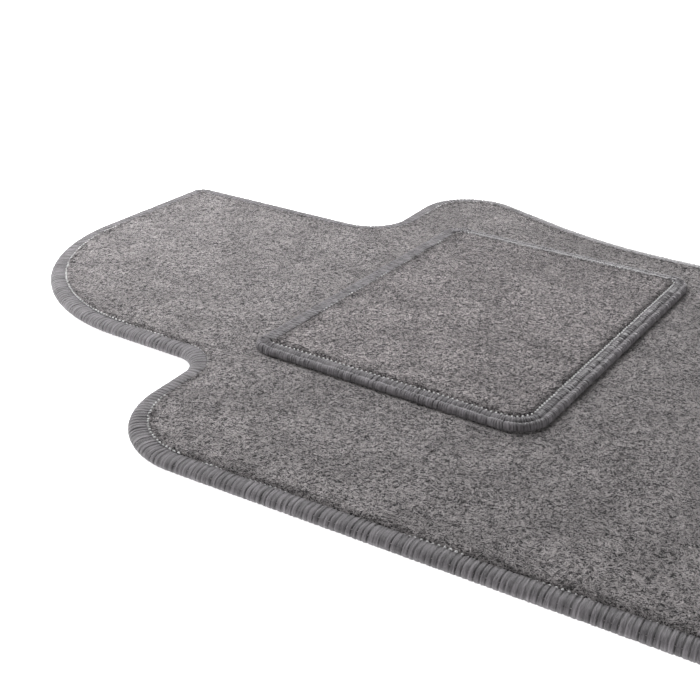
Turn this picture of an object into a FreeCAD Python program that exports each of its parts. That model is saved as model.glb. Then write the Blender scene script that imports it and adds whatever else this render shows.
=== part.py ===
"""Driver's carpet floor mat with a sewn-on heel pad.

Frame, in millimetres: +Z is up and z = 0 is the floor.  +Y points to the front of
the vehicle, +X to its right.  The origin is the centre of the mat's footprint.
"""
import FreeCAD, Part
import math
import os

from FreeCAD import Vector

# Mat outline: straight sides between corners, each corner rounded by its radius.
MAT_LENGTH = 700.0
FRONT_Y = MAT_LENGTH / 2
REAR_Y = -MAT_LENGTH / 2
REAR_LEFT_X = -221.0
REAR_RIGHT_X = 199.5
FLARE_START_Y = 5.0          # the right side turns outward here
FLARE_RADIUS = 308.0
SHOULDER_RIGHT = (259.7, 168.4)
SHOULDER_LEFT = (-241.8, 126.7)
TONGUE_RIGHT_X = 122.5
TONGUE_LEFT_X = -134.7
TONGUE_ROOT_RIGHT_Y = 162.1
TONGUE_ROOT_LEFT_Y = 133.5
REAR_LEFT_RADIUS = 65.0
REAR_RIGHT_RADIUS = 60.0
SHOULDER_RIGHT_RADIUS = 44.8
SHOULDER_LEFT_RADIUS = 60.0
ROOT_RIGHT_RADIUS = 30.0
ROOT_LEFT_RADIUS = 20.0
TONGUE_RIGHT_RADIUS = 13.0
TONGUE_LEFT_RADIUS = 141.0

# Heel pad: a rounded rectangle with the corner radii front left, front right,
# rear left and rear right.
PAD_CENTRE = (20.7, 17.7)
PAD_WIDTH = 262.5
PAD_DEPTH = 196.0
PAD_FRONT_LEFT_RADIUS = 12.8
PAD_FRONT_RIGHT_RADIUS = 17.0
PAD_REAR_LEFT_RADIUS = 23.0
PAD_REAR_RIGHT_RADIUS = 17.0

# Layers, from the floor up.
MAT_THICKNESS = 7.6
BACKING_THICKNESS = 2.0
PAD_THICKNESS = 5.3
PAD_TOP = MAT_THICKNESS + PAD_THICKNESS

# Overlocked edges: yarn wrapped round the squeezed margin of the carpet.
MAT_BAND_WIDTH = 11.0
MAT_YARN = 1.2
PAD_BAND_WIDTH = 10.0
PAD_YARN = 1.0
GROOVE_WIDTH = 1.0           # between the yarn and the full-height carpet
MARGIN_BACKING = 1.2         # the backing where the yarn squeezes it

# Threads.
NEEDLE_THREAD = 0.9
SEAM_THREAD = 0.8
SEAM_INSET = 5.0             # the line that sews the pad down, from the pad's edge
SEAM_GROOVE_WIDTH = 1.0
SEAM_GROOVE_DEPTH = 0.9
EDGE_FILLET_SHARE = 0.48     # of the edge's height: nearly a half round


def mat_corners():
    """Corners (x, y, radius), anticlockwise from the rear left."""
    return [
        (REAR_LEFT_X, REAR_Y, REAR_LEFT_RADIUS),
        (REAR_RIGHT_X, REAR_Y, REAR_RIGHT_RADIUS),
        (REAR_RIGHT_X, FLARE_START_Y, FLARE_RADIUS),
        SHOULDER_RIGHT + (SHOULDER_RIGHT_RADIUS,),
        (TONGUE_RIGHT_X, TONGUE_ROOT_RIGHT_Y, ROOT_RIGHT_RADIUS),
        (TONGUE_RIGHT_X, FRONT_Y, TONGUE_RIGHT_RADIUS),
        (TONGUE_LEFT_X, FRONT_Y, TONGUE_LEFT_RADIUS),
        (TONGUE_LEFT_X, TONGUE_ROOT_LEFT_Y, ROOT_LEFT_RADIUS),
        SHOULDER_LEFT + (SHOULDER_LEFT_RADIUS,),
    ]


def pad_corners():
    """Corners (x, y, radius), anticlockwise from the rear left."""
    x, y = PAD_CENTRE
    half_w = PAD_WIDTH / 2
    half_d = PAD_DEPTH / 2
    return [
        (x - half_w, y - half_d, PAD_REAR_LEFT_RADIUS),
        (x + half_w, y - half_d, PAD_REAR_RIGHT_RADIUS),
        (x + half_w, y + half_d, PAD_FRONT_RIGHT_RADIUS),
        (x - half_w, y + half_d, PAD_FRONT_LEFT_RADIUS),
    ]


def inset_corners(corners, inset):
    """The corners of the parallel outline that lies `inset` inside."""
    result = []
    for i, (x, y, radius) in enumerate(corners):
        here = Vector(x, y, 0)
        before = Vector(corners[i - 1][0], corners[i - 1][1], 0)
        after = Vector(corners[(i + 1) % len(corners)][0], corners[(i + 1) % len(corners)][1], 0)
        into = (here - before).normalize()
        out = (after - here).normalize()
        turn = math.atan2(into.cross(out).z, into.dot(out))
        bisector = (Vector(-into.y, into.x, 0) + Vector(-out.y, out.x, 0)).normalize()
        moved = here + bisector * (inset / math.cos(turn / 2))
        new_radius = radius - inset if turn > 0 else radius + inset
        result.append((moved.x, moved.y, new_radius))
    return result


def outline(corners, inset, z):
    """A closed wire of straight runs joined by tangent arcs."""
    points = inset_corners(corners, inset)
    arcs = []
    for i, (x, y, radius) in enumerate(points):
        here = Vector(x, y, z)
        before = Vector(points[i - 1][0], points[i - 1][1], z)
        after = Vector(points[(i + 1) % len(points)][0], points[(i + 1) % len(points)][1], z)
        back = (before - here).normalize()
        ahead = (after - here).normalize()
        half_angle = back.getAngle(ahead) / 2
        reach = radius / math.tan(half_angle)
        centre_side = (back + ahead).normalize()
        middle = here + centre_side * (radius / math.sin(half_angle) - radius)
        arcs.append((here + back * reach, middle, here + ahead * reach))
    edges = []
    for i, (start, middle, end) in enumerate(arcs):
        edges.append(Part.Arc(start, middle, end).toShape())
        next_start = arcs[(i + 1) % len(arcs)][0]
        edges.append(Part.LineSegment(end, next_start).toShape())
    return Part.Wire(edges)


def plate(corners, inset, bottom, top):
    """A flat plate with the outline's shape, between two heights."""
    face = Part.Face(outline(corners, inset, bottom))
    return face.extrude(Vector(0, 0, top - bottom))


def rounded_plate(corners, bottom, top):
    """A plate whose whole outer edge is nearly half round."""
    solid = plate(corners, 0, bottom, top)
    rims = []
    for edge in solid.Edges:
        box = edge.BoundBox
        if box.ZLength < 1e-6:
            rims.append(edge)
    return solid.makeFillet((top - bottom) * EDGE_FILLET_SHARE, rims)


def layered(corners, margin, main):
    """A layer with its full section inside and a squeezed margin round it.

    Each of margin and main is (inset, bottom, top).
    """
    solid = plate(corners, *main).fuse(plate(corners, *margin))
    return solid.removeSplitter()


def overlock(corners, bottom, top, width, yarn):
    """The wrapped yarn: a ring of C-shaped section, open towards the middle."""
    ring = rounded_plate(corners, bottom, top)
    ring = ring.cut(plate(corners, width, bottom, top))
    return ring.cut(plate(corners, yarn, bottom + yarn, top - yarn))


def ring_groove(corners, inset, bottom, top):
    """A band of the seam groove's width that follows the outline."""
    outer = plate(corners, inset - SEAM_GROOVE_WIDTH / 2, bottom, top)
    return outer.cut(plate(corners, inset + SEAM_GROOVE_WIDTH / 2, bottom, top))


def thread_ring(corners, inset, z, diameter):
    """A closed round thread that follows the outline."""
    path = outline(corners, inset, z)
    start = path.Edges[1].Vertexes[0].Point
    along = path.Edges[1].Vertexes[1].Point - start
    section = Part.Wire(Part.makeCircle(diameter / 2, start, along))
    pipe = Part.BRepOffsetAPI.MakePipeShell(path)
    pipe.add(section)
    pipe.build()
    pipe.makeSolid()
    return pipe.shape()


def mat_carpet(corners):
    """The mat's felt layer."""
    margin = (MAT_YARN, MAT_YARN + MARGIN_BACKING, MAT_THICKNESS - MAT_YARN)
    main = (MAT_BAND_WIDTH + GROOVE_WIDTH, BACKING_THICKNESS, MAT_THICKNESS)
    return layered(corners, margin, main)


def mat_backing(corners, pad):
    """The non-slip layer, with a groove below for the bobbin thread."""
    margin = (MAT_YARN, MAT_YARN, MAT_YARN + MARGIN_BACKING)
    main = (MAT_BAND_WIDTH + GROOVE_WIDTH, 0, BACKING_THICKNESS)
    solid = layered(corners, margin, main)
    return solid.cut(ring_groove(pad, SEAM_INSET, 0, SEAM_GROOVE_DEPTH))


def heel_pad_carpet(pad):
    """The heel pad's felt."""
    margin = (PAD_YARN, MAT_THICKNESS + PAD_YARN, PAD_TOP - PAD_YARN)
    main = (PAD_BAND_WIDTH + GROOVE_WIDTH, MAT_THICKNESS, PAD_TOP)
    return layered(pad, margin, main)


def heel_pad_overlock(pad):
    """The heel pad's wrapped edge, with a groove above for the seam thread."""
    ring = overlock(pad, MAT_THICKNESS, PAD_TOP, PAD_BAND_WIDTH, PAD_YARN)
    return ring.cut(ring_groove(pad, SEAM_INSET, PAD_TOP - SEAM_GROOVE_DEPTH, PAD_TOP))


def build():
    """Every piece by its name."""
    mat = mat_corners()
    pad = pad_corners()
    mat_groove = MAT_BAND_WIDTH + GROOVE_WIDTH / 2
    pad_groove = PAD_BAND_WIDTH + GROOVE_WIDTH / 2
    mat_margin_top = MAT_THICKNESS - MAT_YARN
    pad_margin_top = PAD_TOP - PAD_YARN
    needle_rise = NEEDLE_THREAD / 2
    seam_z = PAD_TOP - SEAM_GROOVE_DEPTH + SEAM_THREAD / 2
    bobbin_z = SEAM_GROOVE_DEPTH - SEAM_THREAD / 2
    return {
        "mat_carpet": mat_carpet(mat),
        "mat_backing": mat_backing(mat, pad),
        "mat_edge_overlock": overlock(mat, 0, MAT_THICKNESS, MAT_BAND_WIDTH, MAT_YARN),
        "mat_edge_needle_thread": thread_ring(
            mat, mat_groove, mat_margin_top + needle_rise, NEEDLE_THREAD),
        "heel_pad_carpet": heel_pad_carpet(pad),
        "heel_pad_overlock": heel_pad_overlock(pad),
        "heel_pad_needle_thread": thread_ring(
            pad, pad_groove, pad_margin_top + needle_rise, NEEDLE_THREAD),
        "heel_pad_seam_thread": thread_ring(pad, SEAM_INSET, seam_z, SEAM_THREAD),
        "heel_pad_bobbin_thread": thread_ring(pad, SEAM_INSET, bobbin_z, SEAM_THREAD),
    }


os.makedirs("parts", exist_ok=True)
for name, shape in build().items():
    box = shape.BoundBox
    shape.exportStep("parts/" + name + ".step")
    print(name, "valid", shape.isValid(), "solids", len(shape.Solids), "cm3", round(shape.Volume / 1000, 2))
    print("  x", round(box.XMin, 2), round(box.XMax, 2), "y", round(box.YMin, 2), round(box.YMax, 2),
          "z", round(box.ZMin, 2), round(box.ZMax, 2))
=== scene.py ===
import math
from dataclasses import dataclass

import bpy
import numpy as np
from mathutils import Matrix, Vector
from mathutils.geometry import delaunay_2d_cdt


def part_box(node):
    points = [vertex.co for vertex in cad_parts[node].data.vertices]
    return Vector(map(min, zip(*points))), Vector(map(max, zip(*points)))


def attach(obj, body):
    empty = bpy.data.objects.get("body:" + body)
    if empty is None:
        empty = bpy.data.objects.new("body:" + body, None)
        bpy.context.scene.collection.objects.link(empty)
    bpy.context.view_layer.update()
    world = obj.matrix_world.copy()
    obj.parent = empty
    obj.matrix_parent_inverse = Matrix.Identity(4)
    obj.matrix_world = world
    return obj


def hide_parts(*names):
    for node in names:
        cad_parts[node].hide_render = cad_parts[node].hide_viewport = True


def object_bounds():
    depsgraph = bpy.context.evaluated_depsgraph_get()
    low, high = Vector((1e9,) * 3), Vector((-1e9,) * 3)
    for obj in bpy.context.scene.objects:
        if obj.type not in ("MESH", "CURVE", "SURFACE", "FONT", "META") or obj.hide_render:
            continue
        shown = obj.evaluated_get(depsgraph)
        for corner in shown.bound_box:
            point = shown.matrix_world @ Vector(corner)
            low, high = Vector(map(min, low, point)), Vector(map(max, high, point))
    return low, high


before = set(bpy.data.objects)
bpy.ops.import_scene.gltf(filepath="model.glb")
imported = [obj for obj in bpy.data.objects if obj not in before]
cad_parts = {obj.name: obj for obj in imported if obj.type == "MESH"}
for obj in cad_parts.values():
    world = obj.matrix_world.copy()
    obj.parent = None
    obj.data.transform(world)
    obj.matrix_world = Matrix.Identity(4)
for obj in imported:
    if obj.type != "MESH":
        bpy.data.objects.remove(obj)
cad_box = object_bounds()
MM = 0.001

# The outlines, as in the CAD model: corners (x, y, radius) in millimetres, anticlockwise from
# the rear left, with the front, the rear and the pad's sides read from the frame.
MAT_LOW, MAT_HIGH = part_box("mat_edge_overlock")
PAD_LOW, PAD_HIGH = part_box("heel_pad_overlock")
REAR, FRONT = MAT_LOW[1] / MM, MAT_HIGH[1] / MM
MAT_CORNERS = [
    (-221.0, REAR, 65.0),
    (199.5, REAR, 60.0),
    (199.5, 5.0, 308.0),
    (259.7, 168.4, 44.8),
    (122.5, 162.1, 30.0),
    (122.5, FRONT, 13.0),
    (-134.7, FRONT, 141.0),
    (-134.7, 133.5, 20.0),
    (-241.8, 126.7, 60.0),
]
PAD_CORNERS = [
    (PAD_LOW[0] / MM, PAD_LOW[1] / MM, 23.0),
    (PAD_HIGH[0] / MM, PAD_LOW[1] / MM, 17.0),
    (PAD_HIGH[0] / MM, PAD_HIGH[1] / MM, 17.0),
    (PAD_LOW[0] / MM, PAD_HIGH[1] / MM, 12.8),
]

# Heights and widths in millimetres, as all lengths are up to the lights and the camera.
MAT_TOP = MAT_HIGH[2] / MM
PAD_TOP = PAD_HIGH[2] / MM
BACKING_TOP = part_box("mat_carpet")[0][2] / MM
MAT_BAND = 11.0            # width of the wrapped edge
PAD_BAND = 10.0
GROOVE = 1.0               # between the yarn and the carpet's full height
MAT_INSET = MAT_BAND + GROOVE
PAD_INSET = PAD_BAND + GROOVE
STITCH_PITCH = 3.1         # of the needle thread; the yarn turns twice in each
SEAM_INSET = 4.8           # the line that sews the pad down
SEAM_PITCH = 4.0

# Squeezed margins inside the yarn: inset, bottom and top.
FELT_MARGIN = (1.6, 2.4, 5.6)
RUBBER_MARGIN = (1.6, 1.4, 2.4)
PAD_MARGIN = (1.8, 8.9, 10.4)
PAD_CLEARANCE = 0.35       # between the mat's felt and the pad's

FELT_SPACING = 1.75
EDGE_SPACING = 1.2      # along the felt's rim
HIDDEN_SPACING = 7.0                           # where the pad covers the mat
RUBBER_SPACING = 2.4
MESH_JITTER = 0.2          # of the spacing
FIELD_RING_SPACING = 2.0   # along the line that bounds a field of points
OUTLINE_SPACING = 0.3      # along the outline, to find its nearest point
ARC_STEP = 0.25            # between an outline's points round its corners
RUN_STEP = 1.0             # and along its straight runs
TINY = 1e-6
WELD = 1e-4                # points nearer than that are one
TRIANGLES_INSIDE = 1       # what the triangulation gives back
BLOCK = 500                # points handled at a time, to spare memory
LATTICE = 512              # random numbers to each side of a noise field
LATTICE_START = 200        # the frame's origin in it
EDGE_ROWS = [0.4, 0.9, 1.6, 2.5, 3.6, 5.0, 6.6]              # insets of rows along a layer's rim
PAD_CONTACT_ROWS = [-2.6, -1.4, -0.5, 0.4, 1.4, 2.6, 5.0]    # where the pad presses the mat
SEAM_GROOVE_ROWS = [3.8, 4.3, 4.8, 5.3, 5.8]                 # where the seam dents the backing
FAR_FROM_RIM = 99.0
CONTACT_LINE = -0.5        # the pad presses the mat hardest there, from its outline
CONTACT_WIDTH = 1.3
CONTACT_SHADE = 0.8        # how dark the painted contact shadow is there, before SHADE_WAVE
CONTACT_SHADE_WIDTH = 0.9
SHADE_FALL = 1.6           # how abruptly the darkening in a valley ends, of flattened pile and painted shade
BULGE_OFFSET = 1.4         # the felt swells most at that distance past its valley
BULGE_WIDTH = 2.6

# Smooth bumps, as (height, size).
FELT_WAVES = [(0.20, 3.4), (0.15, 7.5), (0.12, 21.0), (0.22, 95.0)]
FELT_RIM_WAVE = (0.35, 2.8)
FELT_RIM_FADE = 3.5        # how far that wave reaches from the rim
RAGGED_WAVE = (0.4, 6.0)   # of the valley's width, as a share
SHADE_WAVE = (0.3, 5.0)    # of how dark the felt's flattened pile, painted shade and painted contact shadow are
RUBBER_WAVES = [(0.08, 3.0), (0.05, 9.0)]
RUBBER_GROOVE = 0.8        # where the seam dents the backing
RUBBER_GROOVE_WIDTH = 0.7
RUBBER_RIM = 0.5           # how far its rim is drawn up
RUBBER_RIM_WIDTH = 1.5
WANDER_WAVE = (0.25, 23.0)   # of the yarn's inner edge
SWAY_WAVE = (0.7, 7.0)     # of the turns' slant
BROKEN_WAVE = (0.5, 2.6)   # of the grooves' depth, as a share
SEAM_WANDER_WAVE = (0.3, 11.0)
SEAM_PULL_WAVE = (0.3, 3.0)
PILE_WAVE = (0.7, 14.0)    # of how much pile covers the stitches

# Seeds of the random draws that aren't given with a piece below.
FIELD_SEED = 5
UNDER_PAD_SEED = 6
RAGGED_SEED = 31
SHADE_SEED = 61
RUBBER_SEED = 71
MAT_FIBRE_SEED, FRONT_FIBRE_SEED, REAR_FIBRE_SEED = 81, 83, 85
PAD_FIBRE_SEED, PAD_FIBRE_SHAPE_SEED = 87, 89


@dataclass
class Felt:
    """How a felt face rises and falls, and where its pile is flattened and shade is painted on it."""

    drop: float            # how far the stitching pulls the rim down
    width: float           # how wide that valley is
    bulge: float           # how far the felt swells past it
    contact: float         # how far the heel pad's edge presses the felt down
    shade: tuple           # strength and width of the valley's flattened pile and painted shade
    contact_shade: float   # strength of the painted contact shadow along the heel pad's edge
    seed: int


MAT_FACE = Felt(drop=0.45, width=1.5, bulge=0.35, contact=0.5,
                shade=(0.08, 1.6), contact_shade=0.7, seed=11)
PAD_FACE = Felt(drop=1.1, width=1.5, bulge=0.45, contact=0.0,
                shade=(0.5, 3.6), contact_shade=0.0, seed=13)


@dataclass
class Wrap:
    """How yarn is wound round an edge."""

    profile: list          # (inset, height) round the outside, from the inner top down
    cavity: list           # the same round the inside, back up again
    depth: float           # of a usual groove between two turns
    minor: tuple           # the least and most share of it in every other groove
    gather: float          # how much the yarn bulges where it crowds round a corner
    samples: int           # points along each turn
    seed: int
    seam: float = 0.0      # inset of the seam that pulls the yarn down, or 0


MAT_WRAP = Wrap(
    profile=[
        (11.7, 5.8), (11.3, 6.6), (10.2, 7.0), (7.8, 7.25), (5.2, 7.25), (3.0, 6.8), (1.2, 5.6),
        (0.1, 3.9), (0.3, 2.1), (1.4, 0.8), (3.6, 0.1), (7.0, 0.0), (11.0, 0.0),
    ],
    cavity=[(11.0, 1.1), (1.5, 1.3), (1.5, 5.6), (10.8, 5.2)],
    depth=0.58, minor=(0.15, 0.6), gather=0.5, samples=4, seed=41)
PAD_WRAP = Wrap(
    profile=[
        (10.7, 11.3), (10.4, 12.1), (9.6, 12.55), (8.2, 12.75), (6.7, 12.7), (5.8, 12.4), (5.15, 12.0),
        (4.8, 11.7), (4.45, 12.1), (3.8, 12.5), (2.9, 12.7), (1.8, 12.5), (0.75, 11.85), (0.15, 10.8),
        (0.05, 9.2), (0.4, 8.2), (1.4, 7.55), (10.0, 7.5),
    ],
    cavity=[(10.0, 8.5), (1.6, 8.8), (1.6, 10.0), (9.6, 10.6)],
    depth=0.6, minor=(0.4, 1.1), gather=2.4, samples=6, seed=43, seam=SEAM_INSET)
TURN_SLANT = 0.9           # how far a turn runs along the edge on its way across
TURN_JITTER = 0.09         # of a turn's width
USUAL_GROOVE = (0.85, 1.5)   # the least and most share of the depth in a usual groove
LOW_CREST = 0.45           # the most that a turn lies low, as a share of the depth
PACKED = 0.85              # share of the depth along a straight run,
FANNED = 0.5               # and that much more where the turns fan out
GROOVE_LIMITS = (0.6, 1.3)
GROOVE_SHARPNESS = 1.5
CROWDING = 1.05            # the outline's stretch from which the yarn crowds
CROWD_LIFT = 0.7           # its bulge upward, as a share of the one outward
SEAM_FLOOR = 10.5          # the seam pulls only what is above this height
SEAM_PULL = 0.22
SEAM_BEAT = 0.2            # how much more it pulls at each stitch, and less between them
SEAM_DENT = 0.75           # how far the yarn closes over it where it is loose
SEAM_REACH = 0.4           # how wide its dent is,
SEAM_WIDE_REACH = 2.6      # and the dip round it
TIGHT_SIDE = (0.25, 0.65)  # the way into the pad from the side where it is tightest
USUAL_TIGHTNESS = 0.35
LEAST_TIGHTNESS = 0.25
BITE = 0.9                 # a groove's usual share of its depth
INNER_BITE = 1.5           # the grooves are deeper, and their painted shade darker, by that at the band's inner edge,
OUTER_BITE = 1.3           # and by that outside the seam, where their painted shade is also lighter
OUTER_SHADE = 0.6
WANDERING_PART = 0.6       # the band's inner edge wanders from that share of its width on


@dataclass
class Stitches:
    """A row of short arched stitches that follows an outline."""

    inset: float
    height: float
    length: float
    radius: float          # half the width
    dip: float             # how much lower the ends are than the middle
    seed: int
    pitch: float = STITCH_PITCH
    buried: float = 0.0    # how far the row sinks into the pile
    open_side: tuple = ()  # it lies open where the way into the sheet is that way


MAT_STITCHES = Stitches(inset=MAT_BAND + 0.6, height=7.2, length=1.8, radius=0.82, dip=0.6,
                        seed=51, buried=2.4)
PAD_STITCHES = Stitches(inset=PAD_BAND - 0.2, height=12.85, length=1.5, radius=0.72, dip=0.7,
                        seed=53, buried=1.6, open_side=(0.15, 0.6))
SEAM_STITCHES = Stitches(inset=SEAM_INSET, height=11.4, length=3.0, radius=0.3, dip=0.5,
                         seed=55, pitch=SEAM_PITCH)
BOBBIN_STITCHES = Stitches(inset=SEAM_INSET, height=0.4, length=3.4, radius=0.33, dip=-0.6,
                           seed=57, pitch=SEAM_PITCH)
STITCH_FLATNESS = 0.55     # height over width
STITCH_JITTER = 0.07       # of the pitch
STITCH_LENGTHS = (0.85, 1.15)  # the least and most share of the length
STITCH_LIFT = 0.1
STITCH_SHIFT = 0.18
STITCH_SIDES = 6
# A stitch's stations from end to end, and its girth at each as a share of the widest.
STITCH_STATIONS = np.array([-1.0, -0.9, -0.5, 0.0, 0.5, 0.9, 1.0])
STITCH_GIRTHS = np.array([0.0, 0.55, 0.93, 1.0, 0.93, 0.55, 0.0])
CORNER_OPENING = 22.0      # how soon a row shows where the edge turns outward
USUAL_OPENING = 0.6        # how open a row lies that has an open side
PILE_COVER = 0.8           # how much of a row the pile covers where it isn't open

# Loose fibres: how many a sheet as big as the face's box has, and how many more lie along its rim.
MAT_FIBRES = (40000, 5500)
PAD_FIBRES = (8500, 2400)
FIBRE_LENGTH = (1.8, 5.8)
FIBRE_GIRTH = (0.09, 0.22)
FIBRE_ARCH = 0.7           # the most that its middle rises
FIBRE_TILT = 0.6           # the most that an end rises
FIBRE_CURL = 0.32          # the most that it bends sideways, as a share of its length
CURL_CENTRE = 0.4          # keeps a bent fibre on its place
FIBRE_LIFT = 0.02          # above the felt
FIBRE_MARGIN = 3.0         # the face's fibres start that far inside its rim
FIBRE_JITTER = 0.6         # of their spacing
FIBRE_PAD_GAP = 1.0        # and that far from the heel pad
RIM_FIBRE_SPREAD = (1.6, 1.3)  # gamma shape and scale of their distance from the rim
FIBRE_SIDES = 3
FIBRE_STATIONS = np.array([-1.0, -0.4, 0.35, 1.0])
FIBRE_GIRTHS = np.array([0.0, 1.0, 0.85, 0.0])

# Tints, as red, green and blue over green, and linear levels of grey.
NEUTRAL = (1.0, 1.0, 1.0)
FELT_TINT = (1.075, 1.0, 1.01)
YARN_TINT = (1.075, 1.0, 1.07)
FELT_DARK = 0.034
FELT_LIGHT = 0.120
FELT_CLUMP = 0.145
# the dark of gaps between fibres, and of painted shade on the felt
FELT_GAP_AND_PAINTED_SHADE = 0.02
FELT_PATCH = 0.03
FELT_MIDDLE = 0.25         # a felt's contrast spreads its tones about this one
MAT_CONTRAST = 1.06
PAD_CONTRAST = 1.28
FIBRE_DARK = 0.02
FIBRE_LIGHT = 0.62
FIBRE_WORN = 0.12
YARN_DARK = 0.16
YARN_LIGHT = 0.30
YARN_FILAMENT = 0.46
YARN_GAP = 0.08
YARN_FADED = 0.14
# Painted shade in the yarn's grooves and in the seam's dent.
YARN_PAINTED_GROOVE_SHADE = 0.012
YARN_PAINTED_SEAM_SHADE = 0.02
WHITE_LIGHT = 0.96
WHITE_DARK = 0.84
GREY_LIGHT = 0.09
GREY_DARK = 0.05
RUBBER_DARK = 0.028
RUBBER_LIGHT = 0.045
RUBBER_SPECK = 0.13
FLOOR_LIGHT = 0.96
FLOOR_DARK = 0.93
FLOOR_GLOW = 0.9

# Fibres drawn by the felt's material: offset, scale, width, stretch, turn, share and level.
FELT_STRANDS = [
    ((1.3, 8.8, 0.2), 270.0, 0.080, (0.6, 1.0, 1.0), 0.2, 0.80, 0.010),
    ((5.9, 2.4, 0.7), 430.0, 0.095, (1.0, 0.6, 1.0), 2.2, 0.92, 0.008),
    ((2.2, 6.1, 0.4), 680.0, 0.100, (0.7, 1.0, 1.0), 1.1, 0.92, 0.008),
    ((3.1, 1.7, 0.3), 290.0, 0.060, (1.0, 0.6, 1.0), 0.5, 0.80, 0.44),
    ((7.7, 4.2, 0.9), 450.0, 0.070, (0.6, 1.0, 1.0), 1.3, 0.92, 0.58),
    ((4.4, 9.3, 0.6), 700.0, 0.080, (1.0, 0.7, 1.0), 2.6, 0.92, 0.58),
]

# The camera and the studio, in metres, degrees and watts.
CAMERA_AT = (-0.6236, -0.2969, 0.3312)
CAMERA_HEADING = 33.235    # from +X towards +Y
CAMERA_PITCH = 26.21       # below the horizon
CAMERA_ROLL = 0.825
LENS = 60.187              # mm, on a sensor 36 mm wide
SENSOR = 36.0
CLIP_START = 0.01
WORLD_LIGHT = 0.17
FLOOR_HALF = 40.0
FLOOR_GAP = 0.0002         # below what stands on it
# Soft lights: name, place, the point it faces, size and power.
LIGHTS = [
    ("key_softbox", (-0.06, 0.56, 0.48), (0.0, 0.2, 0.0), 0.65, 6.0),
    ("rim_softbox", (1.2, 0.1, 0.5), (0.0, 0.0, 0.0), 0.6, 10.0),
    ("fill_softbox", (-0.8, -1.1, 0.32), (0.0, 0.0, 0.0), 0.6, 4.1),
]


# ---- noise
def smooth(t):
    """Eases from 0 to 1 as t goes from 0 to 1."""
    return t * t * (3 - 2 * t)


def hump(x, middle, width):
    """A bell of height 1 at the middle."""
    return np.exp(-((x - middle) / width) ** 2)


def noise_2d(x, y, wave, seed):
    """Smooth noise over a plane, with bumps up and down of that (height, size)."""
    height, size = wave
    lattice = np.random.RandomState(seed).uniform(-1, 1, (LATTICE, LATTICE))
    gx, gy = x / size + LATTICE_START, y / size + LATTICE_START
    ix, iy = np.floor(gx).astype(int), np.floor(gy).astype(int)
    fx, fy = smooth(gx - ix), smooth(gy - iy)
    a = lattice[iy % LATTICE, ix % LATTICE]
    b = lattice[iy % LATTICE, (ix + 1) % LATTICE]
    c = lattice[(iy + 1) % LATTICE, ix % LATTICE]
    d = lattice[(iy + 1) % LATTICE, (ix + 1) % LATTICE]
    return height * ((a + (b - a) * fx) * (1 - fy) + (c + (d - c) * fx) * fy)


def noise_round(s, total, wave, seed):
    """The same along a closed line of length `total`."""
    height, size = wave
    count = int(round(total / size))
    values = np.random.RandomState(seed).uniform(-1, 1, count)
    g = s / total * count
    i = np.floor(g).astype(int)
    f = smooth(g - i)
    return height * (values[i % count] * (1 - f) + values[(i + 1) % count] * f)


# ---- outlines
def walk(corners):
    """Points of a rounded outline, a fraction of a millimetre apart, and their inward normals."""
    arcs = []
    for i, (x, y, radius) in enumerate(corners):
        here = np.array([x, y])
        back = np.array(corners[i - 1][:2]) - here
        ahead = np.array(corners[(i + 1) % len(corners)][:2]) - here
        back /= np.linalg.norm(back)
        ahead /= np.linalg.norm(ahead)
        half = math.acos(back @ ahead) / 2
        turn = np.sign(-back[0] * ahead[1] + back[1] * ahead[0])
        start = here + back * radius / math.tan(half)
        middle = (back + ahead) / np.linalg.norm(back + ahead)
        centre = here + middle * radius / math.sin(half)
        first = math.atan2(*(start - centre)[::-1])
        sweep = turn * (math.pi - 2 * half)
        angles = first + np.linspace(0, sweep, max(8, int(abs(sweep) * radius / ARC_STEP)))
        spokes = np.c_[np.cos(angles), np.sin(angles)]
        arcs.append((centre + radius * spokes, -turn * spokes))
    points, normals = [], []
    for i, (arc, inward) in enumerate(arcs):
        points.append(arc)
        normals.append(inward)
        end, start = arc[-1], arcs[(i + 1) % len(arcs)][0][0]
        steps = int(np.linalg.norm(start - end) / RUN_STEP)
        t = (np.arange(1, steps) / steps)[:, None]
        points.append(end + (start - end) * t)
        normals.append(np.repeat(inward[-1:], len(t), 0))
    return np.vstack(points), np.vstack(normals)


class Border:
    """A closed outline, measured along the parallel line that lies `pace_inset` inside it."""

    def __init__(self, corners, pace_inset):
        points, normals = walk(corners)
        self.data = np.c_[points, normals]
        self.data = np.vstack([self.data, self.data[:1]])
        line = self.data[:, :2] + self.data[:, 2:] * pace_inset
        steps = np.linalg.norm(np.diff(line, axis=0), axis=1)
        self.place = np.concatenate([[0], np.cumsum(steps)])
        self.total = self.place[-1]
        edge = np.linalg.norm(np.diff(self.data[:, :2], axis=0), axis=1)
        self.marks = np.arange(0, self.total, RUN_STEP)
        self.fan = np.interp(self.marks, self.place[1:], edge / np.maximum(steps, TINY))

    def spread(self, s):
        """How many times longer the outline is than the paced line, at distances s."""
        return np.interp(s, self.marks, self.fan)

    def at(self, s):
        """Outline points and inward normals at distances s."""
        s = np.mod(s, self.total)
        cols = [np.interp(s, self.place, self.data[:, k]) for k in range(4)]
        normals = np.stack(cols[2:], -1)
        normals /= np.linalg.norm(normals, axis=-1, keepdims=True)
        return np.stack(cols[:2], -1), normals

    def line(self, inset, spacing, phase=0.0):
        """Evenly spaced points of the line `inset` inside the outline."""
        line = self.data[:, :2] + self.data[:, 2:] * inset
        place = np.concatenate([[0], np.cumsum(np.linalg.norm(np.diff(line, axis=0), axis=1))])
        count = int(round(place[-1] / spacing))
        s = (np.arange(count) + phase) / count * place[-1]
        return np.c_[np.interp(s, place, line[:, 0]), np.interp(s, place, line[:, 1])]


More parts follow.
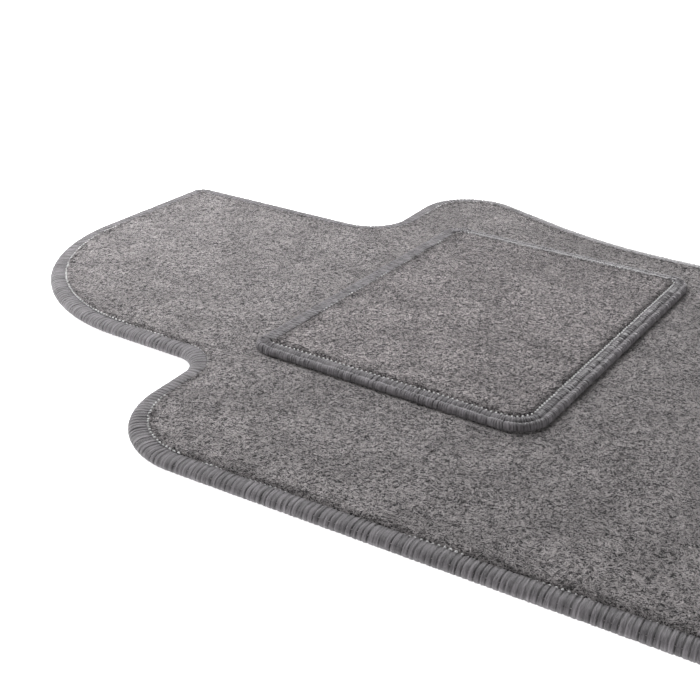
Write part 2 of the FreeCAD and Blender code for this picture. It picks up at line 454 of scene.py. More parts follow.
def field_inside(border, inset, spacing, seed, jitter=MESH_JITTER):
    """An even field of points inside the line `inset` from the outline, each moved a little."""
    ring = border.line(inset, FIELD_RING_SPACING)
    ahead = np.roll(ring, -1, 0)
    rise = ahead[:, 1] - ring[:, 1]
    low, high = ring.min(0), ring.max(0)
    columns = np.arange(low[0], high[0], spacing)
    rows = np.arange(low[1], high[1], spacing * math.sqrt(3) / 2)
    field = []
    for k, y in enumerate(rows):
        cut = (ring[:, 1] > y) != (ahead[:, 1] > y)
        x_cut = ring[cut, 0] + (y - ring[cut, 1]) / rise[cut] * (ahead[cut, 0] - ring[cut, 0])
        x = columns + spacing / 2 * (k % 2)
        winding = ((x[:, None] < x_cut) * np.sign(rise[cut])).sum(1)
        x = x[winding == 1]
        field.append(np.c_[x, np.full(len(x), y)])
    field = np.vstack(field)
    return field + np.random.RandomState(seed).uniform(-jitter, jitter, field.shape) * spacing


# ---- meshes
def make_piece(name, points, faces, material, replaces=None):
    """A smooth mesh object that rides on the part's one body.

    points are in millimetres, and faces is a list of arrays of triangles or quads.
    """
    mesh = bpy.data.meshes.new(name)
    points = np.asarray(points) * MM
    corners = np.concatenate([block.ravel() for block in faces])
    sizes = np.concatenate([np.full(len(block), block.shape[1]) for block in faces])
    mesh.vertices.add(len(points))
    mesh.vertices.foreach_set("co", points.ravel())
    mesh.loops.add(len(corners))
    mesh.loops.foreach_set("vertex_index", corners.astype(np.int32))
    mesh.polygons.add(len(sizes))
    mesh.polygons.foreach_set("loop_start", np.concatenate([[0], np.cumsum(sizes)[:-1]]).astype(np.int32))
    mesh.polygons.foreach_set("use_smooth", np.ones(len(sizes), bool))
    mesh.update(calc_edges=True)
    mesh.materials.append(material)
    piece = bpy.data.objects.new(name, mesh)
    bpy.context.scene.collection.objects.link(piece)
    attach(piece, "root")
    if replaces:
        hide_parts(replaces)
    return piece


def add_attribute(piece, name, values):
    """Stores one vector for each point, for the material to read."""
    layer = piece.data.attributes.new(name, "FLOAT_VECTOR", "POINT")
    layer.data.foreach_set("vector", np.asarray(values, np.float32).ravel())


def strip(first, second, count):
    """Quads between two closed rings of points that start at those indices."""
    i = np.arange(count)
    j = (i + 1) % count
    return np.c_[first + i, first + j, second + j, second + i]


def flat_cap(rim, extra):
    """Triangles that fill the closed ring `rim`, using the points `extra` inside it."""
    coords = [Vector(p) for p in np.vstack([rim, extra]).tolist()]
    edges = [(i, (i + 1) % len(rim)) for i in range(len(rim))]
    _, _, faces, origin, _, _ = delaunay_2d_cdt(coords, edges, [], TRIANGLES_INSIDE, WELD)
    old = np.array([o[0] for o in origin])
    return np.array([[old[i] for i in f] for f in faces])


def pad_distance(x, y):
    """Distance outside the heel pad's outline, and negative inside it."""
    (left, rear), (right, front) = PAD_CORNERS[0][:2], PAD_CORNERS[2][:2]
    rear_left, rear_right, front_right, front_left = [corner[2] for corner in PAD_CORNERS]
    at_right = x > (left + right) / 2
    at_front = y > (rear + front) / 2
    radius = np.where(at_front, np.where(at_right, front_right, front_left),
                      np.where(at_right, rear_right, rear_left))
    far_x = np.abs(x - (left + right) / 2) - (right - left) / 2 + radius
    far_y = np.abs(y - (rear + front) / 2) - (front - rear) / 2 + radius
    outside = np.hypot(np.maximum(far_x, 0), np.maximum(far_y, 0))
    return outside + np.minimum(np.maximum(far_x, far_y), 0) - radius


def layer_points(border, main_inset, rows, spacing, pad_rows, pad_spacing):
    """Plan points of a layer's face: a rim, rows that follow it, and an even field inside.

    Returns them with each point's distance from the rim.  pad_rows are the insets of more rows,
    along the heel pad's outline, and inside those the field has its own spacing.
    """
    rim = border.line(main_inset, EDGE_SPACING)
    lines = [border.line(main_inset + row, EDGE_SPACING, 0.5 * (k % 2)) for k, row in enumerate(rows, 1)]
    depths = list(rows)
    inner = field_inside(border, main_inset + rows[-1] + spacing, spacing, FIELD_SEED)
    if pad_rows:
        pad = Border(PAD_CORNERS, 0)
        inner = inner[pad_distance(inner[:, 0], inner[:, 1]) > spacing - pad_rows[0]]
        pad_lines = [pad.line(inset, EDGE_SPACING, 0.5 * (k % 2)) for k, inset in enumerate(pad_rows)]
        under_pad = field_inside(pad, pad_rows[-1] + spacing, pad_spacing, UNDER_PAD_SEED)
        inner = np.vstack([inner, under_pad, *pad_lines])
    lines.append(inner)
    depths.append(FAR_FROM_RIM)
    depth = np.concatenate([np.full(len(line), value) for line, value in zip(lines, depths)])
    return rim, np.vstack(lines), depth


def straight_out(rim, edge):
    """Unit vectors from each rim point straight out to the outline's points `edge`."""
    out = np.empty_like(rim)
    for start in range(0, len(rim), BLOCK):
        part = rim[start:start + BLOCK]
        gap = edge[None] - part[:, None]
        nearest = np.argmin((gap ** 2).sum(2), axis=1)
        out[start:start + BLOCK] = gap[np.arange(len(part)), nearest]
    return out / np.linalg.norm(out, axis=1, keepdims=True)


def sewn_layer(border, main, margin, fine_side, rows, spacing, height, pad_rows=(), pad_spacing=0.0):
    """A closed sheet whose margin is squeezed thin inside the wrapped edge.

    main and margin are (inset, bottom, top).  The fine side, "top" or "bottom", gets the dense
    points, raised by height(x, y, distance from the rim); the other side is flat.  Returns
    points, faces, and each point's distance from the rim.
    """
    rim, field, depth = layer_points(border, main[0], rows, spacing, pad_rows, pad_spacing)
    count = len(rim)
    outer = rim + straight_out(rim, border.line(0, OUTLINE_SPACING)) * (main[0] - margin[0])
    top = fine_side == "top"
    fine_z, flat_z = (main[2], main[1]) if top else (main[1], main[2])
    fine_m, flat_m = (margin[2], margin[1]) if top else (margin[1], margin[2])
    rim_z = fine_z + height(rim[:, 0], rim[:, 1], np.zeros(count))
    field_z = fine_z + height(field[:, 0], field[:, 1], depth)
    rings = [(rim, rim_z), (field, field_z)]
    for plan, z in ((rim, fine_m), (outer, fine_m), (outer, flat_m), (rim, flat_m), (rim, flat_z)):
        rings.append((plan, np.full(count, z)))
    points = np.vstack([np.c_[plan, z] for plan, z in rings])
    starts = np.cumsum([0] + [len(plan) for plan, _ in rings])
    faces = [flat_cap(rim, field), flat_cap(rim, np.zeros((0, 2)))[:, ::-1] + starts[6]]
    order = [0, 2, 3, 4, 5, 6]
    for a, b in zip(order, order[1:]):
        faces.append(strip(starts[a], starts[b], count)[:, ::-1])
    if not top:
        faces = [block[:, ::-1] for block in faces]
    depths = np.concatenate([np.zeros(count), depth, np.zeros(len(points) - count - len(depth))])
    return points, faces, depths


def turns_along(border, wrap):
    """The turns of a wound edge, one sample after another.

    Returns each sample's distance along the border, how far the grooves cut it, and its turn's
    random number.
    """
    random = np.random.RandomState(wrap.seed)
    turns = 2 * int(round(border.total / STITCH_PITCH))
    jitter = random.uniform(-TURN_JITTER, TURN_JITTER, turns)
    groove = (np.arange(turns) + jitter) * border.total / turns
    usual = np.arange(turns) % 2 == 0
    deep = np.where(usual, random.uniform(*USUAL_GROOVE, turns), random.uniform(*wrap.minor, turns))
    deep *= wrap.depth * np.clip(PACKED + FANNED * (border.spread(groove) - 1), *GROOVE_LIMITS)
    low_crest = wrap.depth * random.uniform(0, LOW_CREST, turns)
    tone = random.uniform(0, 1, turns)
    step = np.arange(wrap.samples) / wrap.samples
    after = np.append(groove[1:], groove[0] + border.total)
    s = groove[:, None] + (after - groove)[:, None] * step
    out_of_groove = np.clip(1 - 2 * step, 0, 1) ** GROOVE_SHARPNESS
    into_next = np.clip(2 * step - 1, 0, 1) ** GROOVE_SHARPNESS
    cut = deep[:, None] * out_of_groove + np.roll(deep, -1)[:, None] * into_next
    cut += low_crest[:, None] * np.sin(math.pi * step)
    return s.ravel(), cut.ravel(), np.repeat(tone, wrap.samples)


def seam_effect(border, wrap, s, inset, z):
    """How far a seam moves a line of the yarn inward and down, and how near the line is to it, times the
    seam's tightness, for the seam's painted shade.
    """
    if z <= SEAM_FLOOR or not wrap.seam:
        nothing = np.zeros(len(s))
        return nothing, nothing, nothing
    near = hump(inset, wrap.seam, SEAM_REACH)
    around = hump(inset, wrap.seam, SEAM_WIDE_REACH)
    beat = np.cos(2 * math.pi * s * round(border.total / SEAM_PITCH) / border.total)
    pull = SEAM_PULL + SEAM_BEAT * beat + noise_round(s, border.total, SEAM_PULL_WAVE, wrap.seed + 4)
    tight = np.clip(USUAL_TIGHTNESS + border.at(s)[1] @ np.array(TIGHT_SIDE), LEAST_TIGHTNESS, 1)
    inward = noise_round(s, border.total, SEAM_WANDER_WAVE, wrap.seed + 3) * near
    down = pull * tight * (near + around) / 2 - SEAM_DENT * (1 - tight) * near
    return inward, down, near * tight


def wrapped_edge(border, wrap):
    """Yarn wound round an edge: a closed ring with a groove between each turn and the next.

    Returns points, faces, and for each point its place along and across the band, how deep in a groove it
    is, for its painted shade, its turn's random number, and how near the seam it is, for the seam's
    painted shade.
    """
    s, cut, tone = turns_along(border, wrap)
    wander = noise_round(s, border.total, WANDER_WAVE, wrap.seed + 1)
    sway = noise_round(s, border.total, SWAY_WAVE, wrap.seed + 2)
    crowd = wrap.gather * np.clip(border.spread(s) - CROWDING, 0, 1)
    outside = np.array(wrap.profile)
    run = np.gradient(outside, axis=0)
    run /= np.linalg.norm(run, axis=1, keepdims=True)
    inward = np.c_[-run[:, 1], run[:, 0]]
    across = np.concatenate([[0], np.cumsum(np.linalg.norm(np.diff(outside, axis=0), axis=1))])
    rows, facts = [], []
    for k, (inset, z) in enumerate(outside):
        plan, normal = border.at(s + (TURN_SLANT + sway) * (across[k] / across[-1] - 0.5))
        bite = cut * (BITE + noise_2d(s, np.full(len(s), across[k]), BROKEN_WAVE, wrap.seed + 5))
        if k == 0:
            bite *= INNER_BITE
        shade = bite / wrap.depth
        if inset < wrap.seam:
            bite *= OUTER_BITE
            shade *= OUTER_SHADE
        seam_inward, seam_down, seam_near = seam_effect(border, wrap, s, inset, z)
        place = inset + seam_inward + bite * inward[k, 0] - crowd * max(0.0, -inward[k, 0])
        if inset > WANDERING_PART * outside[:, 0].max():
            place += wander
        height = z - seam_down + bite * inward[k, 1] + CROWD_LIFT * crowd * max(0.0, -inward[k, 1])
        rows.append(np.c_[plan + normal * place[:, None], height])
        facts.append(np.c_[s, np.full(len(s), across[k]), shade, tone, seam_near])
    # The inside of the band gets the full painted groove shade.
    for inset, z in wrap.cavity:
        plan, normal = border.at(s)
        rows.append(np.c_[plan + normal * inset, np.full(len(s), z)])
        facts.append(np.c_[s, np.full(len(s), across[-1]), np.ones(len(s)), tone, np.zeros(len(s))])
    faces = [strip(k * len(s), (k + 1) % len(rows) * len(s), len(s)) for k in range(len(rows))]
    return np.vstack(rows), faces, np.vstack(facts)


def bareness(border, centre, open_side):
    """How open a row of stitches lies at each place, from 0, deep in the pile, to 1."""
    if open_side:
        return np.clip(USUAL_OPENING + border.at(centre)[1] @ np.array(open_side), 0, 1)
    return np.clip(CORNER_OPENING * (border.spread(centre) - 1), 0, 1)


def stitch_row(corners, row):
    """Short arched stitches along a line: closed, pointed capsules, one for each stitch."""
    border = Border(corners, row.inset)
    random = np.random.RandomState(row.seed)
    count = int(round(border.total / row.pitch))
    jitter = random.uniform(-STITCH_JITTER, STITCH_JITTER, count)
    centre = (np.arange(count) + 0.5 + jitter) * border.total / count
    length = row.length * random.uniform(*STITCH_LENGTHS, count)
    height = row.height + random.uniform(-STITCH_LIFT, STITCH_LIFT, count)
    pile = np.clip(PILE_COVER + noise_round(centre, border.total, PILE_WAVE, row.seed + 1), 0, 1)
    height -= row.buried * (1 - bareness(border, centre, row.open_side)) * pile
    inset = row.inset + random.uniform(-STITCH_SHIFT, STITCH_SHIFT, count)
    angles = np.arange(STITCH_SIDES) / STITCH_SIDES * 2 * math.pi
    points = []
    for station, girth in zip(STITCH_STATIONS, STITCH_GIRTHS):
        plan, normal = border.at(centre + station * length / 2)
        middle = plan + normal * inset[:, None]
        z = height - row.dip * station ** 2
        if girth == 0:
            points.append(np.c_[middle, z][:, None])
            continue
        wide = row.radius * girth
        flat = wide * STITCH_FLATNESS
        ring = [np.c_[middle + normal * wide * math.cos(a), z + flat * math.sin(a)] for a in angles]
        points.append(np.stack(ring, 1))
    block = np.concatenate(points, 1)
    return block.reshape(-1, 3), spindle_faces(count, STITCH_SIDES, len(STITCH_STATIONS) - 2)


def spindle_faces(count, sides, rings):
    """Faces of `count` closed spindles: a point, some rings of `sides` points, and a point."""
    k = np.arange(sides)
    j = (k + 1) % sides
    each = sides * rings + 2
    last = each - 1
    tips = np.vstack([np.c_[np.zeros(sides, int), 1 + j, 1 + k],
                      np.c_[np.full(sides, last), last - sides + k, last - sides + j]])
    walls = [np.c_[1 + r * sides + k, 1 + r * sides + j, 1 + (r + 1) * sides + j, 1 + (r + 1) * sides + k]
             for r in range(rings - 1)]
    first = (np.arange(count) * each)[:, None, None]
    return [(tips[None] + first).reshape(-1, 3), (np.vstack(walls)[None] + first).reshape(-1, 4)]


def fibres(middle, heading, length, girth, arch, tilt, seed):
    """Loose fibres: closed, curved, three-sided slivers that lie at the points `middle`.

    Returns points, faces, and for each point its fibre's random number, for the tone.
    """
    random = np.random.RandomState(seed)
    count = len(middle)
    curl = random.uniform(-FIBRE_CURL, FIBRE_CURL, count) * length
    ahead = np.c_[np.cos(heading), np.sin(heading)]
    side = np.c_[-np.sin(heading), np.cos(heading)]
    rows = []
    for station, share in zip(FIBRE_STATIONS, FIBRE_GIRTHS):
        plan = middle[:, :2] + ahead * (station * length / 2)[:, None]
        plan += side * (curl * (station ** 2 - CURL_CENTRE))[:, None]
        z = middle[:, 2] + arch * (1 - station ** 2) + tilt * station
        if share == 0:
            rows.append(np.c_[plan, z][:, None])
            continue
        ring = []
        for angle in math.pi / 2 + np.arange(FIBRE_SIDES) / FIBRE_SIDES * 2 * math.pi:
            out = side * (girth * share * math.cos(angle))[:, None]
            ring.append(np.c_[plan + out, z + girth * share * math.sin(angle)])
        rows.append(np.stack(ring, 1))
    block = np.concatenate(rows, 1)
    tone = np.repeat(random.uniform(0, 1, count), block.shape[1])
    return block.reshape(-1, 3), spindle_faces(count, FIBRE_SIDES, len(FIBRE_STATIONS) - 2), tone


# ---- materials
class Nodes:
    """A small helper for building a material's nodes.  Noise scales are in bumps to a metre."""

    def __init__(self, name):
        self.material = bpy.data.materials.new(name)
        self.material.use_nodes = True
        self.tree = self.material.node_tree
        self.shader = self.tree.nodes["Principled BSDF"]

    def add(self, kind, inputs=None, **settings):
        node = self.tree.nodes.new(kind)
        for key, value in settings.items():
            setattr(node, key, value)
        for key, value in (inputs or {}).items():
            if hasattr(value, "is_linked") or hasattr(value, "is_output"):
                self.tree.links.new(value, node.inputs[key])
            else:
                node.inputs[key].default_value = value
        return node

    def math(self, operation, a, b=0.0, clamp=False):
        return self.add("ShaderNodeMath", {0: a, 1: b}, operation=operation, use_clamp=clamp).outputs[0]

    def blend(self, factor, a, b, mode="MIX"):
        node = self.add("ShaderNodeMix", {0: factor, 6: a, 7: b}, data_type="RGBA", blend_type=mode)
        return node.outputs[2]

    def spread(self, value, low, high, to_low=0.0, to_high=1.0):
        return self.add("ShaderNodeMapRange", {0: value, 1: low, 2: high, 3: to_low, 4: to_high},
                        interpolation_type="SMOOTHSTEP").outputs[0]

    def noise(self, vector, scale, detail=2.0, roughness=0.5, distortion=0.0):
        node = self.add("ShaderNodeTexNoise", {"Vector": vector, "Scale": scale, "Detail": detail,
                                               "Roughness": roughness, "Distortion": distortion})
        return node.outputs[0]

    def moved(self, vector, offset, scale=(1, 1, 1), turn=0.0):
        return self.add("ShaderNodeMapping", {"Vector": vector, "Location": offset, "Scale": scale,
                                              "Rotation": (0, 0, turn)}).outputs[0]

    def strands(self, vector, offset, scale, width, stretch=(1, 1, 1), turn=0.0):
        """The value 1 on thin, curling lines, as of loose fibres, and 0 between them."""
        placed = self.moved(vector, offset, stretch, turn)
        value = self.noise(placed, scale, 1.5, 0.5, 0.7)
        away = self.math("ABSOLUTE", self.math("SUBTRACT", value, 0.5))
        return self.spread(away, 0.0, width, 1.0, 0.0)

    def place(self):
        return self.add("ShaderNodeTexCoord").outputs["Object"]

    def read(self, name):
        """A vector that the mesh stores for each point."""
        return self.add("ShaderNodeAttribute", attribute_name=name).outputs["Vector"]

    def over(self, base, mask, share, colour, clamp=False):
        """The base with a share of the colour laid over it where the mask is."""
        return self.blend(self.math("MULTIPLY", mask, share, clamp), base, colour)

    def finish(self, colour, settings, relief=None, strength=0.0, depth=0.0):
        """The material with that colour, those shader settings, and bump as deep as `depth` metres."""
        self.tree.links.new(colour, self.shader.inputs["Base Color"])
        if relief:
            bump = self.add("ShaderNodeBump", {"Strength": strength, "Distance": depth, "Height": relief})
            self.tree.links.new(bump.outputs[0], self.shader.inputs["Normal"])
        for key, value in settings.items():
            self.shader.inputs[key].default_value = value
        return self.material


def tint(level, colour=NEUTRAL):
    """A linear colour of that level."""
    return (level * colour[0], level * colour[1], level * colour[2], 1.0)


def felt_tint(level):
    return tint(level, FELT_TINT)


def yarn_tint(level):
    return tint(level, YARN_TINT)


def felt_material(name, contrast):
    """Needled felt of mixed light and dark wool-like fibres.

    contrast is the power that spreads its tones apart, about FELT_MIDDLE.
    """
    n = Nodes(name)
    place = n.place()
    # Flattened pile, with painted shade in the valleys and a painted contact shadow by the heel pad.
    pile_and_painted_shade = n.add("ShaderNodeSeparateXYZ", {0: n.read("pile")}).outputs[0]
    patch = n.noise(place, 42.0, 2.0, 0.5)
    cloud = n.noise(place, 95.0, 3.0, 0.65)
    clump = n.noise(place, 260.0, 3.0, 0.65, 0.5)
    grain = n.noise(place, 900.0, 2.0, 0.7)
    base = n.blend(n.spread(cloud, 0.3, 0.7), felt_tint(FELT_DARK), felt_tint(FELT_LIGHT))
    base = n.blend(n.spread(clump, 0.40, 0.66, 0.0, 0.8), base, felt_tint(FELT_CLUMP))
    base = n.over(base, n.spread(grain, 0.42, 0.60), 0.65, felt_tint(FELT_GAP_AND_PAINTED_SHADE))
    relief = n.math("ADD", n.math("MULTIPLY", clump, 1.6), n.math("MULTIPLY", grain, 0.5))
    for offset, scale, width, stretch, turn, share, level in FELT_STRANDS:
        strand = n.strands(place, offset, scale, width, stretch, turn)
        base = n.over(base, strand, share, felt_tint(level))
        # Light strands stand out of the felt, and dark ones are gaps in it.
        rise = 0.5 if level > FELT_MIDDLE else -0.5
        relief = n.math("ADD", relief, n.math("MULTIPLY", strand, rise))
    base = n.blend(n.spread(patch, 0.62, 0.38, 0.0, 0.22), base, felt_tint(FELT_PATCH))
    # Darker where the pile is flattened and where shade and the contact shadow are painted.
    ragged = n.math("MULTIPLY", pile_and_painted_shade, n.spread(clump, 0.25, 0.6, 0.55, 1.0))
    base = n.over(base, ragged, 0.7, felt_tint(FELT_GAP_AND_PAINTED_SHADE), clamp=True)
    base = n.add("ShaderNodeGamma", {0: base, 1: contrast}).outputs[0]
    base = n.blend(1.0, base, tint(FELT_MIDDLE ** (1 - contrast)), "MULTIPLY")
    settings = {"Roughness": 0.95, "Specular IOR Level": 0.15, "Sheen Weight": 0.3, "Sheen Roughness": 0.5}
    return n.finish(base, settings, relief, strength=0.9, depth=0.0007)


def fibre_material():
    """Single fibres, from dark to light."""
    n = Nodes("loose_fibres")
    turn = n.add("ShaderNodeSeparateXYZ", {0: n.read("tone")}).outputs[0]
    place = n.place()
    wear = n.noise(place, 1500.0, 2.0, 0.6)
    base = n.blend(n.spread(turn, 0.3, 0.9), felt_tint(FIBRE_DARK), felt_tint(FIBRE_LIGHT))
    base = n.over(base, wear, 0.5, felt_tint(FIBRE_WORN))
    return n.finish(base, {"Roughness": 0.8, "Sheen Weight": 0.2})


def yarn_material():
    """Smooth synthetic yarn, with its filaments along each turn, and painted shade in its grooves and by
    its seam.
    """
    n = Nodes("edge_yarn")
    wrap = n.read("wrap")
    groove, turn, seam = n.add("ShaderNodeSeparateXYZ", {0: n.read("tone")}).outputs
    fine = n.noise(n.moved(wrap, (0, 0, 0), (1.0, 0.07, 1.0), 0.22), 5200.0, 2.0, 0.6)
    coarse = n.noise(n.moved(wrap, (4, 2, 0), (1.0, 0.10, 1.0), 0.22), 1900.0, 2.0, 0.5)
    slow = n.noise(wrap, 60.0, 2.0, 0.5)
    base = n.blend(turn, yarn_tint(YARN_DARK), yarn_tint(YARN_LIGHT))
    base = n.over(base, n.spread(fine, 0.38, 0.62), 0.5, yarn_tint(YARN_FILAMENT))
    base = n.over(base, n.spread(coarse, 0.42, 0.66), 0.6, yarn_tint(YARN_GAP))
    base = n.over(base, n.spread(slow, 0.3, 0.7), 0.3, yarn_tint(YARN_FADED))
    # Painted shade in the grooves between turns, and in the seam's dent.
    deep = n.math("POWER", n.math("MINIMUM", groove, 1.0), 0.7)
    base = n.over(base, deep, 0.9, yarn_tint(YARN_PAINTED_GROOVE_SHADE))
    base = n.over(base, seam, 0.55, yarn_tint(YARN_PAINTED_SEAM_SHADE))
    relief = n.math("ADD", n.math("MULTIPLY", fine, 0.6), coarse)
    settings = {"Roughness": 0.5, "Specular IOR Level": 0.4, "Sheen Weight": 0.35}
    return n.finish(base, settings, relief, strength=0.6, depth=0.0004)


def thread_material(name, light, dark):
    """Twisted sewing thread."""
    n = Nodes(name)
    place = n.place()
    twist = n.noise(place, 2600.0, 2.0, 0.6)
    base = n.blend(n.spread(twist, 0.35, 0.65), tint(dark), tint(light))
    return n.finish(base, {"Roughness": 0.6}, twist, strength=0.4, depth=0.0002)


def rubber_material():
    """Crumb rubber bonded into a sheet."""
    n = Nodes("rubber_backing")
    place = n.place()
    crumb = n.add("ShaderNodeTexVoronoi", {"Vector": place, "Scale": 700.0})
    speck = n.noise(place, 900.0, 2.0, 0.6)
    patch = n.noise(place, 30.0, 3.0, 0.5)
    base = n.blend(n.spread(patch, 0.3, 0.7), tint(RUBBER_DARK), tint(RUBBER_LIGHT))
    base = n.over(base, n.spread(speck, 0.5, 0.75), 0.5, tint(RUBBER_SPECK))
    relief = n.math("SUBTRACT", n.math("MULTIPLY", speck, 0.6), crumb.outputs["Distance"])
    return n.finish(base, {"Roughness": 0.85}, relief, strength=0.7, depth=0.0006)


def floor_material():
    """Pale studio floor that glows, as a light table does."""
    n = Nodes("studio_floor")
    place = n.place()
    cloud = n.noise(place, 3.0, 2.0, 0.5)
    base = n.blend(cloud, tint(FLOOR_DARK), tint(FLOOR_LIGHT))
    settings = {"Roughness": 0.8, "Emission Color": tint(1.0), "Emission Strength": FLOOR_GLOW}
    return n.finish(base, settings)


MAT_FELT = felt_material("mat_felt", MAT_CONTRAST)
PAD_FELT = felt_material("heel_pad_felt", PAD_CONTRAST)
YARN = yarn_material()
FIBRES = fibre_material()
WHITE_THREAD = thread_material("needle_thread", WHITE_LIGHT, WHITE_DARK)
GREY_THREAD = thread_material("seam_thread", GREY_LIGHT, GREY_DARK)
RUBBER = rubber_material()


# ---- the pieces
def felt_surface(felt):
    """The height function of a felt face, above its flat level."""
    def height(x, y, depth):
        z = sum(noise_2d(x, y, wave, felt.seed + i) for i, wave in enumerate(FELT_WAVES))
        z += noise_2d(x, y, FELT_RIM_WAVE, felt.seed + len(FELT_WAVES)) * np.exp(-depth / FELT_RIM_FADE)
        ragged = 1 + noise_2d(x, y, RAGGED_WAVE, RAGGED_SEED)
        z -= felt.drop * (1 - smooth(np.clip(depth / (felt.width * ragged), 0, 1)))
        z += felt.bulge * ragged * hump(depth, felt.width + BULGE_OFFSET, BULGE_WIDTH)
        return z - felt.contact * hump(pad_distance(x, y), CONTACT_LINE, CONTACT_WIDTH)
    return height


def felt_shade(points, depths, felt):
    """How flattened the pile is at each point, with painted shade and a painted contact shadow, from 0 to
    1.
    """
    x, y = points[:, 0], points[:, 1]
    strength, width = felt.shade
    valley = (strength + noise_2d(x, y, SHADE_WAVE, SHADE_SEED)) * np.exp(-(depths / width) ** SHADE_FALL)
    # A painted contact shadow along the heel pad's edge.
    line = CONTACT_SHADE + noise_2d(x, y, SHADE_WAVE, SHADE_SEED + 1)
    line *= hump(pad_distance(x, y), CONTACT_LINE, CONTACT_SHADE_WIDTH)
    return np.clip(valley + felt.contact_shade * line, 0, 1)


def felt_piece(name, layer, felt, material, node):
    """A felt layer as a piece, with what its material reads."""
    points, faces, depths = layer
    piece = make_piece(name, points, faces, material, node)
    shade = felt_shade(points, depths, felt)
    # The "pile" vector holds flattened pile, painted shade and a painted contact shadow.
    add_attribute(piece, "pile", np.c_[shade, shade, shade])
    return piece


def fibre_places(border, rim_inset, top, surface, counts, clear_of_pad, seed):
    """Where fibres stand out of a felt face: some anywhere on it, and more along its rim."""
    random = np.random.RandomState(seed)
    field_count, rim_count = counts
    low, high = border.data[:, :2].min(0), border.data[:, :2].max(0)
    spacing = math.sqrt((high[0] - low[0]) * (high[1] - low[1]) / field_count)
    field = field_inside(border, rim_inset + FIBRE_MARGIN, spacing, seed + 1, FIBRE_JITTER)
    if clear_of_pad:
        field = field[pad_distance(field[:, 0], field[:, 1]) > FIBRE_PAD_GAP]
    depth = random.gamma(*RIM_FIBRE_SPREAD, rim_count)
    plan, normal = border.at(random.uniform(0, border.total, rim_count))
    rim = plan + normal * (rim_inset + depth)[:, None]
    plan = np.vstack([field, rim])
    depth = np.concatenate([np.full(len(field), FAR_FROM_RIM), depth])
    return np.c_[plan, top + surface(plan[:, 0], plan[:, 1], depth) + FIBRE_LIFT]


def fibre_piece(name, middle, seed):
    """Loose fibres at those places, as one piece."""
    random = np.random.RandomState(seed)
    count = len(middle)
    length = random.uniform(*FIBRE_LENGTH, count)
    girth = random.uniform(*FIBRE_GIRTH, count)
    arch = random.uniform(0.0, FIBRE_ARCH, count)
    tilt = random.uniform(-FIBRE_TILT, FIBRE_TILT, count)
    heading = random.uniform(0, 2 * math.pi, count)
    points, faces, tone = fibres(middle, heading, length, girth, arch, tilt, seed + 1)
    piece = make_piece(name, points, faces, FIBRES)
    add_attribute(piece, "tone", np.c_[tone, tone, tone])
    return piece


def crumb_height(x, y, depth):
    """The height function of the crumb rubber's underside: it only goes up from the floor."""
    z = sum(wave[0] + noise_2d(x, y, wave, RUBBER_SEED + i) for i, wave in enumerate(RUBBER_WAVES))
    z += RUBBER_GROOVE * hump(pad_distance(x, y), -SEAM_INSET, RUBBER_GROOVE_WIDTH)
    return z + RUBBER_RIM * hump(depth, 0, RUBBER_RIM_WIDTH)


def band_piece(name, border, wrap, node):
    """One wrapped edge as a piece, with what its material reads."""
    points, faces, facts = wrapped_edge(border, wrap)
    piece = make_piece(name, points, faces, YARN, node)
    add_attribute(piece, "wrap", np.c_[facts[:, 0] * MM, facts[:, 1] * MM, facts[:, 3]])
    # The "tone" vector holds each groove's painted shade, the turn's random number and the seam's painted
    # shade.
    add_attribute(piece, "tone", facts[:, 2:5])
    return piece


def stitch_piece(name, corners, row, material, node):
    """One row of stitches as a piece."""
    points, faces = stitch_row(corners, row)
    return make_piece(name, points, faces, material, node)


def mat_pieces():
    """The mat: carpet, loose fibres, backing, wrapped edge and its needle thread."""
    border = Border(MAT_CORNERS, MAT_BAND / 2)
    surface = felt_surface(MAT_FACE)
    layer = sewn_layer(border, (MAT_INSET, BACKING_TOP, MAT_TOP), FELT_MARGIN, "top", EDGE_ROWS,
                       FELT_SPACING, surface, PAD_CONTACT_ROWS, HIDDEN_SPACING)
    carpet = felt_piece("mat_carpet_felt", layer, MAT_FACE, MAT_FELT, "mat_carpet")
    places = fibre_places(border, MAT_INSET, MAT_TOP, surface, MAT_FIBRES, True, MAT_FIBRE_SEED)
    front = places[:, 1] > np.median(places[:, 1])
    pile = [fibre_piece("mat_carpet_front_fibres", places[front], FRONT_FIBRE_SEED),
            fibre_piece("mat_carpet_rear_fibres", places[~front], REAR_FIBRE_SEED)]
    points, faces, _ = sewn_layer(border, (MAT_INSET, 0.0, BACKING_TOP), RUBBER_MARGIN, "bottom",
                                  EDGE_ROWS[::2], RUBBER_SPACING, crumb_height,
                                  SEAM_GROOVE_ROWS, RUBBER_SPACING)
    backing = make_piece("mat_rubber_backing", points, faces, RUBBER, "mat_backing")
    edge = band_piece("mat_edge_yarn", border, MAT_WRAP, "mat_edge_overlock")
    thread = stitch_piece("mat_needle_stitches", MAT_CORNERS, MAT_STITCHES, WHITE_THREAD,
                          "mat_edge_needle_thread")
    return carpet, pile, backing, edge, thread


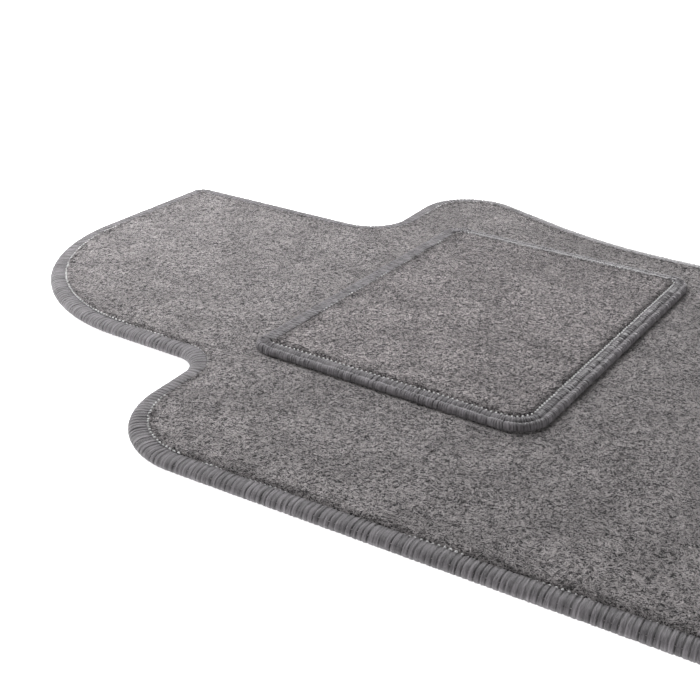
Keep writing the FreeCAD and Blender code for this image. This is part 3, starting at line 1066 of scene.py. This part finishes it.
def pad_pieces():
    """The heel pad: carpet, loose fibres, wrapped edge, needle thread and the seam that holds it."""
    border = Border(PAD_CORNERS, PAD_BAND / 2)
    surface = felt_surface(PAD_FACE)
    layer = sewn_layer(border, (PAD_INSET, MAT_TOP + PAD_CLEARANCE, PAD_TOP), PAD_MARGIN, "top",
                       EDGE_ROWS, FELT_SPACING, surface)
    carpet = felt_piece("heel_pad_felt", layer, PAD_FACE, PAD_FELT, "heel_pad_carpet")
    places = fibre_places(border, PAD_INSET, PAD_TOP, surface, PAD_FIBRES, False, PAD_FIBRE_SEED)
    pile = [fibre_piece("heel_pad_fibres", places, PAD_FIBRE_SHAPE_SEED)]
    edge = band_piece("heel_pad_edge_yarn", border, PAD_WRAP, "heel_pad_overlock")
    thread = stitch_piece("heel_pad_needle_stitches", PAD_CORNERS, PAD_STITCHES, WHITE_THREAD,
                          "heel_pad_needle_thread")
    seam = stitch_piece("heel_pad_seam_stitches", PAD_CORNERS, SEAM_STITCHES, GREY_THREAD,
                        "heel_pad_seam_thread")
    bobbin = stitch_piece("heel_pad_bobbin_stitches", PAD_CORNERS, BOBBIN_STITCHES, GREY_THREAD,
                          "heel_pad_bobbin_thread")
    return carpet, pile, edge, thread, seam, bobbin


# ---- the scene
def place_camera():
    """The camera, from its heading, pitch and roll."""
    heading, pitch, roll = (math.radians(a) for a in (CAMERA_HEADING, CAMERA_PITCH, CAMERA_ROLL))
    level = Vector((math.cos(heading), math.sin(heading), 0))
    ahead = level * math.cos(pitch) - Vector((0, 0, math.sin(pitch)))
    right = Vector((math.sin(heading), -math.cos(heading), 0))
    down = ahead.cross(right)
    tilted_right = right * math.cos(roll) - down * math.sin(roll)
    tilted_down = right * math.sin(roll) + down * math.cos(roll)
    data = bpy.data.cameras.new("camera")
    data.sensor_width = SENSOR
    data.lens = LENS
    data.clip_start = CLIP_START
    camera = bpy.data.objects.new("camera", data)
    axes = Matrix((tilted_right, -tilted_down, -ahead)).transposed().to_4x4()
    camera.matrix_world = Matrix.Translation(CAMERA_AT) @ axes
    bpy.context.scene.collection.objects.link(camera)
    bpy.context.scene.camera = camera


def area_light(name, place, target, size, power):
    """A soft square light that faces a point."""
    data = bpy.data.lights.new(name, "AREA")
    data.size = size
    data.energy = power
    light = bpy.data.objects.new(name, data)
    light.visible_camera = False
    light.location = place
    light.rotation_euler = (Vector(target) - Vector(place)).to_track_quat("-Z", "Y").to_euler()
    bpy.context.scene.collection.objects.link(light)


def studio():
    """The floor, the surrounding light and the lamps."""
    mesh = bpy.data.meshes.new("floor")
    half = FLOOR_HALF
    corners = [(-half, -half, 0), (half, -half, 0), (half, half, 0), (-half, half, 0)]
    mesh.from_pydata(corners, [], [(0, 1, 2, 3)])
    mesh.materials.append(floor_material())
    floor = bpy.data.objects.new("floor", mesh)
    floor.location.z = cad_box[0][2] - FLOOR_GAP
    bpy.context.scene.collection.objects.link(floor)
    world = bpy.data.worlds.new("studio")
    bpy.context.scene.world = world
    world.use_nodes = True
    world.node_tree.nodes["Background"].inputs[0].default_value = (1, 1, 1, 1)
    world.node_tree.nodes["Background"].inputs[1].default_value = WORLD_LIGHT
    for light in LIGHTS:
        area_light(*light)
    bpy.context.scene.view_settings.view_transform = "Standard"


studio()
place_camera()
mat_carpet, mat_fibres, mat_backing, mat_edge, mat_thread = mat_pieces()
pad_carpet, pad_fibres, pad_edge, pad_thread, pad_seam, pad_bobbin = pad_pieces()
